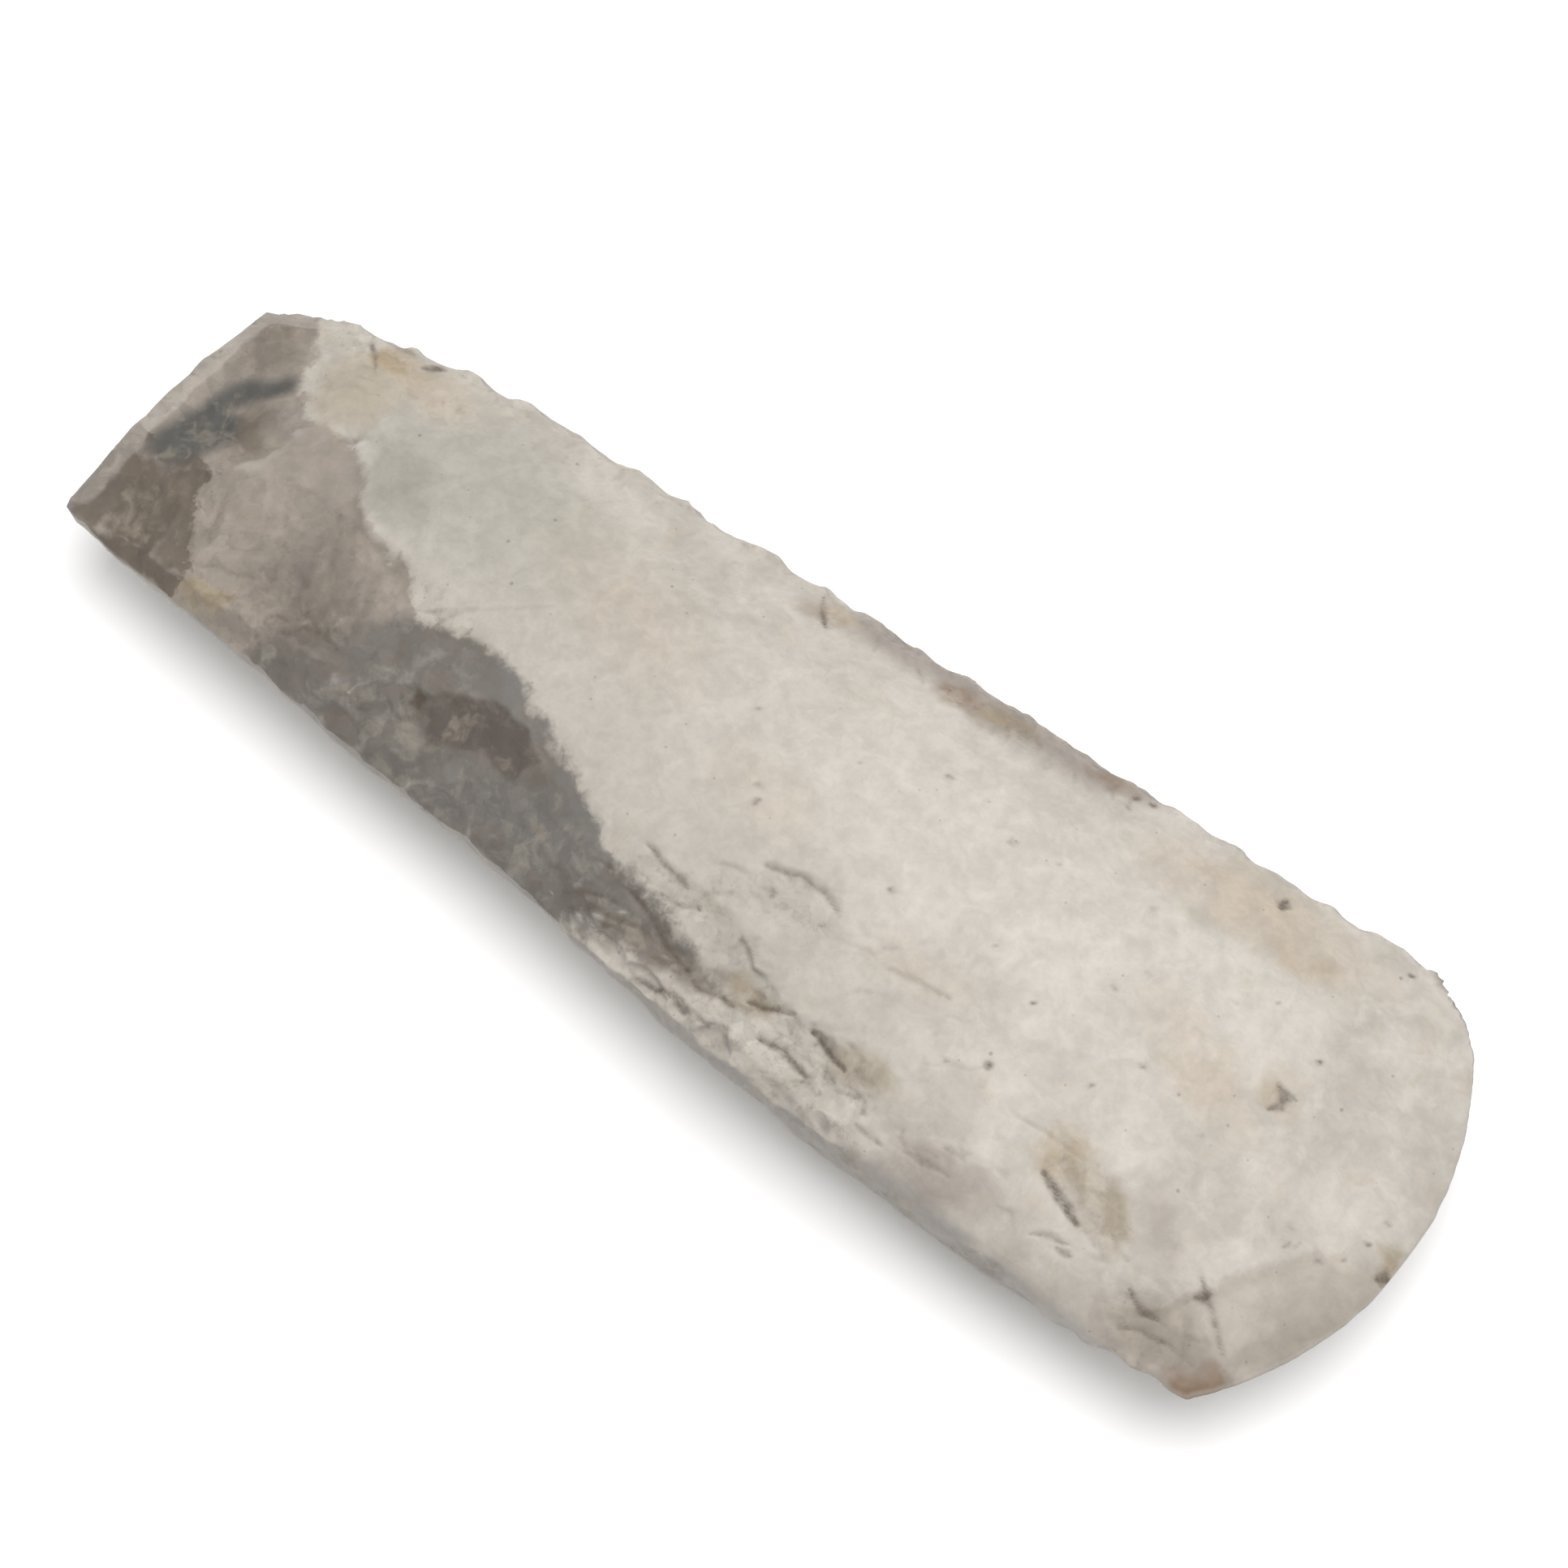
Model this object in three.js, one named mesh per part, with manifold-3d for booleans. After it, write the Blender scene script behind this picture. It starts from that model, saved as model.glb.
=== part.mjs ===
// A polished flint axe head that lies on one broad face. It is one solid, without moving pieces.
// Millimetres. +X points to the cutting edge, +Y to the straighter long side and +Z up.
// The origin is under the middle of the axe, at the level that it lies on.
import * as THREE from "three";
import { mergeVertices } from "three/addons/utils/BufferGeometryUtils.js";
import Module from "manifold-3d";

const { lerp, degToRad } = THREE.MathUtils;

// Driving dimensions.
const length = 200;
const restFlatDepth = 0.5; // ground off the underside, so that the axe lies without rocking
const crownPower = 2.3; // 2 is a round cross-section, and more is a flatter crown
const sideBulge = 0.5;
const butt = { bow: 0.7, skew: 0.5 }; // how far the butt's ends fall back, and the far one more
const blade = { radius: 48, centreY: -1, wornFrom: 26, wornFall: 0.12 }; // the far corner is worn
const grid = { along: 40, across: 14, thick: 2 };

// Stations from the butt (0) to the cutting edge (1): the Y of both long sides, and half the
// thickness at the sides and at the crown.
const stations = [
  { along: 0.0, near: -24.8, far: 14.0, side: 2.4, crown: 3.8 },
  { along: 0.06, near: -25.9, far: 18.7, side: 3.2, crown: 6.3 },
  { along: 0.14, near: -26.3, far: 22.2, side: 3.9, crown: 8.9 },
  { along: 0.25, near: -27.6, far: 24.2, side: 4.5, crown: 11.2 },
  { along: 0.43, near: -29.0, far: 25.6, side: 5.0, crown: 13.3 },
  { along: 0.52, near: -30.9, far: 26.2, side: 5.3, crown: 13.7 },
  { along: 0.62, near: -32.1, far: 27.2, side: 5.5, crown: 13.4 },
  { along: 0.74, near: -32.5, far: 28.2, side: 5.4, crown: 12.0 },
  { along: 0.86, near: -32.6, far: 29.4, side: 4.4, crown: 8.6 },
  { along: 0.94, near: -32.4, far: 31.1, side: 2.2, crown: 4.7 },
  { along: 1.0, near: -31.7, far: 32.9, side: 0.35, crown: 0.35 },
];

// Flake scars that stand alone: the middle of the scar, its length and width, the depth, the turn
// of its length from +X in degrees, and the face that it is in (1 top, -1 underside).
const scars = [
  { name: "butt hollow", x: -89.5, y: -1.5, size: [27, 12], depth: 1.4, turn: 76, face: 1 },
  { name: "butt corner", x: -89, y: -20, size: [24, 17], depth: 1.3, turn: 15, face: 1 },
  { name: "butt shelf", x: -65, y: -17, size: [42, 26], depth: 1.3, turn: 10, face: 1 },
  { name: "dark crescent", x: -33, y: -25, size: [32, 20], depth: 1.3, turn: 6, face: 1 },
  { name: "middle scar", x: 5, y: -26, size: [24, 17], depth: 1.2, turn: -12, face: 1 },
  { name: "inner scar", x: 17, y: -15, size: [15, 9], depth: 0.4, turn: -10, face: 1 },
  { name: "arris break", x: 28, y: -29, size: [26, 13], depth: 1.2, turn: 0, face: 1 },
  { name: "stained hollow", x: 65, y: -21, size: [14, 9], depth: 0.5, turn: -35, face: 1 },
  { name: "corner crease", x: 80, y: -28, size: [14, 9], depth: 0.5, turn: 20, face: 1 },
  { name: "under butt", x: -88, y: -4, size: [30, 18], depth: 1.4, turn: 80, face: -1 },
  { name: "under shelf", x: -60, y: 13, size: [38, 22], depth: 1.2, turn: -8, face: -1 },
  { name: "under scar", x: -38, y: -20, size: [34, 20], depth: 1.2, turn: 6, face: -1 },
];

// Rows of flake scars along the edges, between two places: along the axe on its long sides (side 1
// far, -1 near), and across it on the butt (side 0). Size is across the face by along the edge,
// and lean is how far the blow leans out from the face in degrees.
const rows = [
  { edge: "far top", side: 1, face: 1, from: 0.1, to: 0.6, count: 11, size: [9, 9], depth: 0.9, lean: 50 },
  { edge: "far blade", side: 1, face: 1, from: 0.62, to: 0.9, count: 4, size: [7, 11], depth: 0.5, lean: 45 },
  { edge: "near top", side: -1, face: 1, from: 0.03, to: 0.47, count: 7, size: [16, 15], depth: 1.5, lean: 42 },
  { edge: "near arris", side: -1, face: 1, from: 0.49, to: 0.75, count: 5, size: [10, 12], depth: 0.8, lean: 46 },
  { edge: "near facet", side: -1, face: 1, from: 0.76, to: 0.92, count: 1, size: [8, 36], depth: 0.8, lean: 50 },
  { edge: "far under", side: 1, face: -1, from: 0.05, to: 0.6, count: 7, size: [14, 15], depth: 1.2, lean: 45 },
  { edge: "near under", side: -1, face: -1, from: 0.05, to: 0.68, count: 7, size: [14, 16], depth: 1.2, lean: 45 },
  { edge: "butt top", side: 0, face: 1, from: -0.8, to: 0.9, count: 4, size: [7, 10], depth: 0.8, lean: 50 },
  { edge: "butt under", side: 0, face: -1, from: -0.9, to: 0.8, count: 3, size: [9, 13], depth: 0.9, lean: 45 },
];

const wasm = await Module();
wasm.setup();

// A smooth curve through one named value of the stations.
function curveOf(value) {
  const places = stations.map((s) => s.along);
  const values = stations.map((s) => s[value]);
  const curve = new THREE.CubicInterpolant(places, values, 1);
  return (along) => curve.evaluate(along)[0];
}

const nearY = curveOf("near");
const farY = curveOf("far");
const sideHalf = curveOf("side");
const crownHalf = curveOf("crown");
const thickest = Math.max(...stations.map((s) => s.crown));
const middleZ = thickest - restFlatDepth;

// The X of the butt, a slight bow.
function buttX(across) {
  return -length / 2 + butt.bow * across ** 2 + butt.skew * Math.max(0, across);
}

// The X of the cutting edge, an arc whose far corner is worn round.
function bladeX(across) {
  const y = lerp(nearY(1), farY(1), (across + 1) / 2);
  const arc = Math.sqrt(blade.radius ** 2 - (y - blade.centreY) ** 2) - blade.radius;
  return length / 2 + arc - blade.wornFall * Math.max(0, y - blade.wornFrom) ** 2;
}

// A point of the ground skin: along is 0 to 1, across -1 to 1 and up -1 (underside) to 1 (top).
function skin(along, across, up) {
  const side = sideHalf(along);
  const half = side + (crownHalf(along) - side) * (1 - Math.abs(across) ** crownPower);
  const bulge = sideBulge * across ** 9 * (1 - up ** 2) * Math.sin(Math.PI * along);
  return new THREE.Vector3(
    lerp(buttX(across), bladeX(across), along),
    lerp(nearY(along), farY(along), (across + 1) / 2) + bulge,
    middleZ + up * half,
  );
}

// A closed three.js geometry as a solid that can be cut.
function solidOf(geometry) {
  const bare = geometry.clone().deleteAttribute("normal").deleteAttribute("uv");
  const merged = mergeVertices(bare, 1e-4);
  return new wasm.Manifold(
    new wasm.Mesh({
      numProp: 3,
      vertProperties: new Float32Array(merged.attributes.position.array),
      triVerts: new Uint32Array(merged.index.array),
    }),
  );
}

// The blank: a divided box whose vertices are moved on to the skin.
function blank() {
  const box = new THREE.BoxGeometry(2, 2, 2, grid.along, grid.across, grid.thick);
  const places = box.attributes.position;
  for (let i = 0; i < places.count; i++) {
    const y = places.getY(i);
    const across = y * (1.25 - 0.25 * y * y); // closer steps towards the sides
    const point = skin((places.getX(i) + 1) / 2, across, places.getZ(i));
    places.setXYZ(i, point.x, point.y, point.z);
  }
  return solidOf(box);
}

// The tool that cuts one scar, a cap of an ellipsoid: out points away from the axe and run lies
// along the scar's length.
function scarTool(middle, out, run, size, depth) {
  const roundness = 4; // the ellipsoid's half height over the depth of the cap
  const reach = Math.sqrt(1 - ((roundness - 1) / roundness) ** 2);
  const detail = size[0] > 22 ? [16, 16] : [12, 12];
  const across = new THREE.Vector3().crossVectors(run, out);
  const turned = new THREE.Matrix4().makeBasis(
    run.clone().multiplyScalar(size[0] / 2 / reach),
    out.clone().multiplyScalar(roundness * depth),
    across.multiplyScalar(size[1] / 2 / reach),
  );
  turned.setPosition(middle.clone().addScaledVector(out, (roundness - 1) * depth));
  return solidOf(new THREE.SphereGeometry(1, ...detail).applyMatrix4(turned));
}

// The place along and across the skin that lies at X and Y.
function placeAt(x, y) {
  let along = 0.5;
  let across = 0;
  for (let pass = 0; pass < 8; pass++) {
    along = (x - buttX(across)) / (bladeX(across) - buttX(across));
    across = (2 * (y - nearY(along))) / (farY(along) - nearY(along)) - 1;
  }
  return { along, across };
}

// The direction out of a face at a place, from two short steps along the skin.
function outOf(along, across, face) {
  const step = 0.02;
  const here = skin(along, across, face);
  const ahead = skin(along + step, across, face).sub(here);
  const beside = skin(along, across + step, face).sub(here);
  return ahead.cross(beside).normalize().multiplyScalar(face);
}

function standingScar({ x, y, size, depth, turn, face }) {
  const { along, across } = placeAt(x, y);
  const out = outOf(along, across, face);
  const angle = degToRad(turn);
  const run = new THREE.Vector3(Math.cos(angle), Math.sin(angle), 0);
  run.addScaledVector(out, -run.dot(out)).normalize();
  return scarTool(skin(along, across, face), out, run, size, depth);
}

// An uneven number between -1 and 1 that is the same each time.
function uneven(index, salt) {
  return Math.sin(index * 7.31 + salt * 3.17);
}

function rowOfScars({ side, face, from, to, count, size, depth, lean }, salt) {
  const tools = [];
  for (let i = 0; i < count; i++) {
    const wobble = (spread, kind) => 1 + spread * uneven(i, salt + kind);
    const place = lerp(from, to, (i + 0.5 + 0.25 * uneven(i, salt)) / count);
    const middle = side ? skin(place, side * 0.97, face) : skin(0, place, face);
    const away = side ? new THREE.Vector3(0, side, 0) : new THREE.Vector3(-1, 0, 0);
    const up = new THREE.Vector3(0, 0, face);
    const angle = degToRad(lean * wobble(0.15, 1));
    const out = up.clone().multiplyScalar(Math.cos(angle)).addScaledVector(away, Math.sin(angle));
    const run = up.multiplyScalar(Math.sin(angle)).addScaledVector(away, -Math.cos(angle));
    const scarSize = size.map((value) => value * wobble(0.3, 2));
    tools.push(scarTool(middle, out, run, scarSize, depth * wobble(0.35, 3)));
  }
  return tools;
}

// What is ground off below the level that the axe lies on.
function restPlane() {
  const slab = new THREE.BoxGeometry(length, length / 2, 10);
  return solidOf(slab.translate(0, 0, -5));
}

function flintAxe() {
  const tools = [...scars.map(standingScar), ...rows.flatMap(rowOfScars), restPlane()];
  const cut = tools.reduce((body, tool) => body.subtract(tool), blank());
  const { vertProperties, triVerts } = cut.getMesh();
  const geometry = new THREE.BufferGeometry();
  geometry.setAttribute("position", new THREE.BufferAttribute(vertProperties, 3));
  geometry.setIndex(new THREE.BufferAttribute(triVerts, 1));
  geometry.computeVertexNormals();
  const flint = new THREE.MeshStandardMaterial({ color: 0xc8beb0, roughness: 0.5, metalness: 0 });
  const mesh = new THREE.Mesh(geometry, flint);
  mesh.name = "flint_axe";
  return mesh;
}

export default new THREE.Group().add(flintAxe());
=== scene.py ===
# A polished flint axe head that lies on a pale floor, with its cutting edge towards +X and +Z up.
# Blender works in metres. The sizes and places in the dictionaries below are in millimetres.
import math
import random

import bmesh
import bpy
import numpy as np
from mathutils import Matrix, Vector, noise


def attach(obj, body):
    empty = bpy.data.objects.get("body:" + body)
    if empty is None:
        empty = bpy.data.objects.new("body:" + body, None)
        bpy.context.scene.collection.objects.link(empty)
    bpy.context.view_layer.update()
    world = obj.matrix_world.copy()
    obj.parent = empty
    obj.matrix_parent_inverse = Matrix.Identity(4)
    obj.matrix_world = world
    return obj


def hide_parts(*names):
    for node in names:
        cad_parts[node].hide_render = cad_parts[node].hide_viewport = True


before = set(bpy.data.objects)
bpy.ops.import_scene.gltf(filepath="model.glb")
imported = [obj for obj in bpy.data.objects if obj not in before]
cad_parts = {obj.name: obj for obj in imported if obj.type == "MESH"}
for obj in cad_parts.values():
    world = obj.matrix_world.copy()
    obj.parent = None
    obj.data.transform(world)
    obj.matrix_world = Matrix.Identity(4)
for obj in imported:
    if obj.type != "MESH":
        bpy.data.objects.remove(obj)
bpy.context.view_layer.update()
mm = 0.001
print("frame loaded")

# ---- camera, floor and light ----
view = {"elevation": 64.0, "azimuth": 38.6, "lens": 90.0, "distance": 504.0, "aim": (0.6, 2.3, 14.0)}
studio = {
    "floorColor": (0.95, 0.95, 0.95),
    "floorSize": 6000.0,
    "skyStrength": 0.7,
    "keyPower": 13.0,
    "keySize": 1300.0,
    "keyDistance": 1200.0,
    "keyAzimuth": 158.0,
    "keyElevation": 79.0,
}


def directionFrom(azimuth, elevation):
    turn = math.radians(azimuth)
    lift = math.radians(elevation)
    return Vector((math.sin(turn) * math.cos(lift), -math.cos(turn) * math.cos(lift), math.sin(lift)))


def aimAlong(holder, back):
    holder.rotation_euler = (-back).to_track_quat("-Z", "Y").to_euler()


def makeCamera():
    camera = bpy.data.objects.new("camera", bpy.data.cameras.new("camera"))
    bpy.context.scene.collection.objects.link(camera)
    back = directionFrom(view["azimuth"], view["elevation"])
    camera.data.lens = view["lens"]
    camera.data.clip_start = 20 * mm
    camera.location = Vector(view["aim"]) * mm + back * view["distance"] * mm
    aimAlong(camera, back)
    bpy.context.scene.camera = camera


def makeFloor():
    shape = bmesh.new()
    bmesh.ops.create_grid(shape, x_segments=1, y_segments=1, size=studio["floorSize"] / 2 * mm)
    floor = bpy.data.objects.new("floor", bpy.data.meshes.new("floor"))
    shape.to_mesh(floor.data)
    shape.free()
    material = bpy.data.materials.new("floor")
    material.use_nodes = True
    shader = material.node_tree.nodes["Principled BSDF"]
    shader.inputs["Base Color"].default_value = (*studio["floorColor"], 1)
    shader.inputs["Roughness"].default_value = 0.9
    floor.data.materials.append(material)
    bpy.context.scene.collection.objects.link(floor)


def makeLight():
    key = bpy.data.lights.new("key", "AREA")
    key.shape = "DISK"
    key.size = studio["keySize"] * mm
    key.energy = studio["keyPower"]
    lamp = bpy.data.objects.new("key", key)
    back = directionFrom(studio["keyAzimuth"], studio["keyElevation"])
    lamp.location = back * studio["keyDistance"] * mm
    aimAlong(lamp, back)
    bpy.context.scene.collection.objects.link(lamp)
    world = bpy.data.worlds.new("sky")
    world.use_nodes = True
    sky = world.node_tree.nodes["Background"]
    sky.inputs["Color"].default_value = (1, 1, 1, 1)
    sky.inputs["Strength"].default_value = studio["skyStrength"]
    bpy.context.scene.world = world
    bpy.context.scene.view_settings.view_transform = "Standard"


makeCamera()
makeFloor()
makeLight()
print("camera, floor and light made")

# ---- the shape of the axe ----
axe = {
    "voxel": 0.73,
    "fineReach": 0.8,  # the mesh is finer this close to a crease
    "bladeCentre": (52.0, -1.0),  # the cutting edge is an arc around this
    "bladeZone": 45.5,  # and the mesh is finer this far from it too
    "bladePasses": 24,
    "facetPasses": 50,  # how long the flats of the solid are worn smooth
    "keepEdges": 0.02,  # lower keeps more of the scars' edges
    "sideGrowth": {"far": 1.15, "near": 0.6, "butt": 0.9},  # what the scars wear off again
    "rimSoftness": 0.12,  # how far the grinding rounded the rims of the scars
    "rippleStep": 2.4,
    "rippleHeight": 0.05,
    "scallops": (0.5, 0.28, 0.28),  # depths of the coarse, the small and the crushed flaking
    "swell": (22.0, 0.16),  # size and height of the slow unevenness of a surface ground by hand
    "tooth": (1.6, 0.06),  # size and height of the grain on struck surfaces
    "bevelPasses": 40,
    "bevelFrom": 40.0,
    "bevelTo": 78.0,
}

# Flake scars that stand alone, in the same places as in the solid: face is 1 on top, -1 below.
scars = [
    {"name": "butt hollow", "at": (-89.5, -1.5), "size": (27, 12), "depth": 0.5, "turn": 76, "face": 1},
    {"name": "butt corner", "at": (-89, -20), "size": (24, 17), "depth": 0.5, "turn": 15, "face": 1},
    {"name": "butt shelf", "at": (-65, -17), "size": (42, 26), "depth": 0.4, "turn": 10, "face": 1},
    {"name": "butt flake", "at": (-75, -8), "size": (17, 12), "depth": 0.3, "turn": 40, "face": 1},
    {"name": "dark crescent", "at": (-27, -24), "size": (30, 17), "depth": 0.55, "turn": 8, "face": 1},
    {"name": "rock flake", "at": (-58, -25), "size": (15, 10), "depth": 0.5, "turn": -8, "face": 1},
    {"name": "blue flake", "at": (-50, -20), "size": (16, 12), "depth": 0.3, "turn": -20, "face": 1},
    {"name": "middle scar", "at": (2, -25), "size": (22, 12), "depth": 0.45, "turn": -12, "face": 1},
    {"name": "inner scar", "at": (14, -15), "size": (15, 8), "depth": 0.3, "turn": -8, "face": 1},
    {"name": "long groove", "at": (7, -17), "size": (12, 5), "depth": 0.22, "turn": 12, "face": 1},
    {"name": "arris break", "at": (28, -27), "size": (15, 7), "depth": 0.5, "turn": 2, "face": 1},
    {"name": "green break", "at": (15, -27), "size": (12, 6), "depth": 0.4, "turn": 10, "face": 1},
    {"name": "stained hollow", "at": (66, -20.5), "size": (12, 7), "depth": 0.35, "turn": -25, "face": 1},
    {"name": "corner crease", "at": (82, -28.5), "size": (12, 7), "depth": 0.3, "turn": 20, "face": 1},
    {"name": "far shelf", "at": (-66, 15), "size": (16, 9), "depth": 0.22, "turn": 12, "face": 1},
    {"name": "far nip", "at": (20, 25), "size": (18, 6), "depth": 0.4, "turn": 4, "face": 1},
    {"name": "under butt", "at": (-88, -4), "size": (30, 18), "depth": 0.5, "turn": 80, "face": -1},
    {"name": "under shelf", "at": (-60, 13), "size": (38, 22), "depth": 0.4, "turn": -8, "face": -1},
    {"name": "under scar", "at": (-38, -20), "size": (34, 20), "depth": 0.4, "turn": 6, "face": -1},
]

# Flake scars along the long sides, struck from the edge inwards: the side (1 far, -1 near), the
# face, where each one is, its size across and along the edge, the depth and the lean outwards.
edgeScars = [
    {"side": 1, "face": 1, "at": [-86, -76.5, -66, -57, -49, -41], "size": (8, 8), "depth": 0.7, "lean": 62},
    {"side": 1, "face": 1, "at": [-31.5, -25, -17, -10], "size": (8, 7), "depth": 1.0, "lean": 66},
    {"side": 1, "face": 1, "at": [-1, 7, 15, 24, 32, 39.5], "size": (8, 8), "depth": 0.7, "lean": 60},
    {"side": 1, "face": 1, "at": [48, 54.5, 61.5, 68, 77], "size": (5, 7), "depth": 0.55, "lean": 64},
    {"side": -1, "face": 1, "at": [-90, -80, -71, -60, -50], "size": (12, 10), "depth": 0.8, "lean": 44},
    {"side": -1, "face": 1, "at": [-41, -31, -22, -13, -4], "size": (9, 9), "depth": 0.8, "lean": 48},
    {"side": -1, "face": 1, "at": [4, 10, 16, 21, 27, 33], "size": (9, 7), "depth": 0.7, "lean": 44},
    {
        "side": -1, "face": -1, "at": [-88, -75, -64, -52, -40, -27, -15, -3, 9, 22],
        "size": (13, 12), "depth": 0.9, "lean": 48,
    },
    {
        "side": 1, "face": -1, "at": [-85, -70, -56, -43, -29, -16, -2, 12, 26],
        "size": (13, 12), "depth": 0.9, "lean": 45,
    },
]

# Ridges that scars meet in. The surface drops on the right-hand side of each line, going along
# it, and comes back to its level within the width.
ridges = [
    {
        "name": "butt ridge", "drop": 0.55, "width": 13,
        "line": [
            (-73, 8), (-72, 2.4), (-68.4, 0.6), (-65.1, -3.8), (-61.3, -6.2), (-55, -6.6), (-49.4, -11),
        ],
    },
    {
        "name": "fold", "drop": 0.16, "width": 7,
        "line": [(-49.4, -11), (-45, -8.8), (-39.3, -4.2), (-33.4, 0.6), (-29, 2.5)],
    },
    {
        "name": "crescent", "drop": 0.4, "width": 8,
        "line": [(-43, -21), (-37.7, -17.5), (-32, -15.3), (-26.3, -15.9), (-22, -18.4)],
    },
    {
        "name": "shelf foot", "drop": 0.22, "width": 6,
        "line": [(-66, -24), (-61, -20), (-57.7, -18.6), (-54.2, -15.6), (-48.7, -11.8)],
    },
    {
        "name": "blade facet", "drop": 0.3, "width": 9,
        "line": [(76, -28), (80.3, -25.7), (83.6, -20.3), (86.9, -13.3), (91.4, -7.9)],
    },
    {
        "name": "side facet", "drop": 0.3, "width": 6,
        "line": [(33, -31.5), (36.7, -31.2), (40, -29), (44.2, -26.5), (50.8, -22.6)],
    },
    {
        "name": "brown corner", "drop": 0.35, "width": 7,
        "line": [(-84.5, -10.5), (-84.6, -14.5), (-82, -18.5), (-78.4, -22.5)],
    },
    {
        "name": "slate fold", "drop": 0.22, "width": 5,
        "line": [(-86, 6.5), (-88.4, 2.2), (-89.2, -1.6), (-89, -6)],
    },
]

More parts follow.
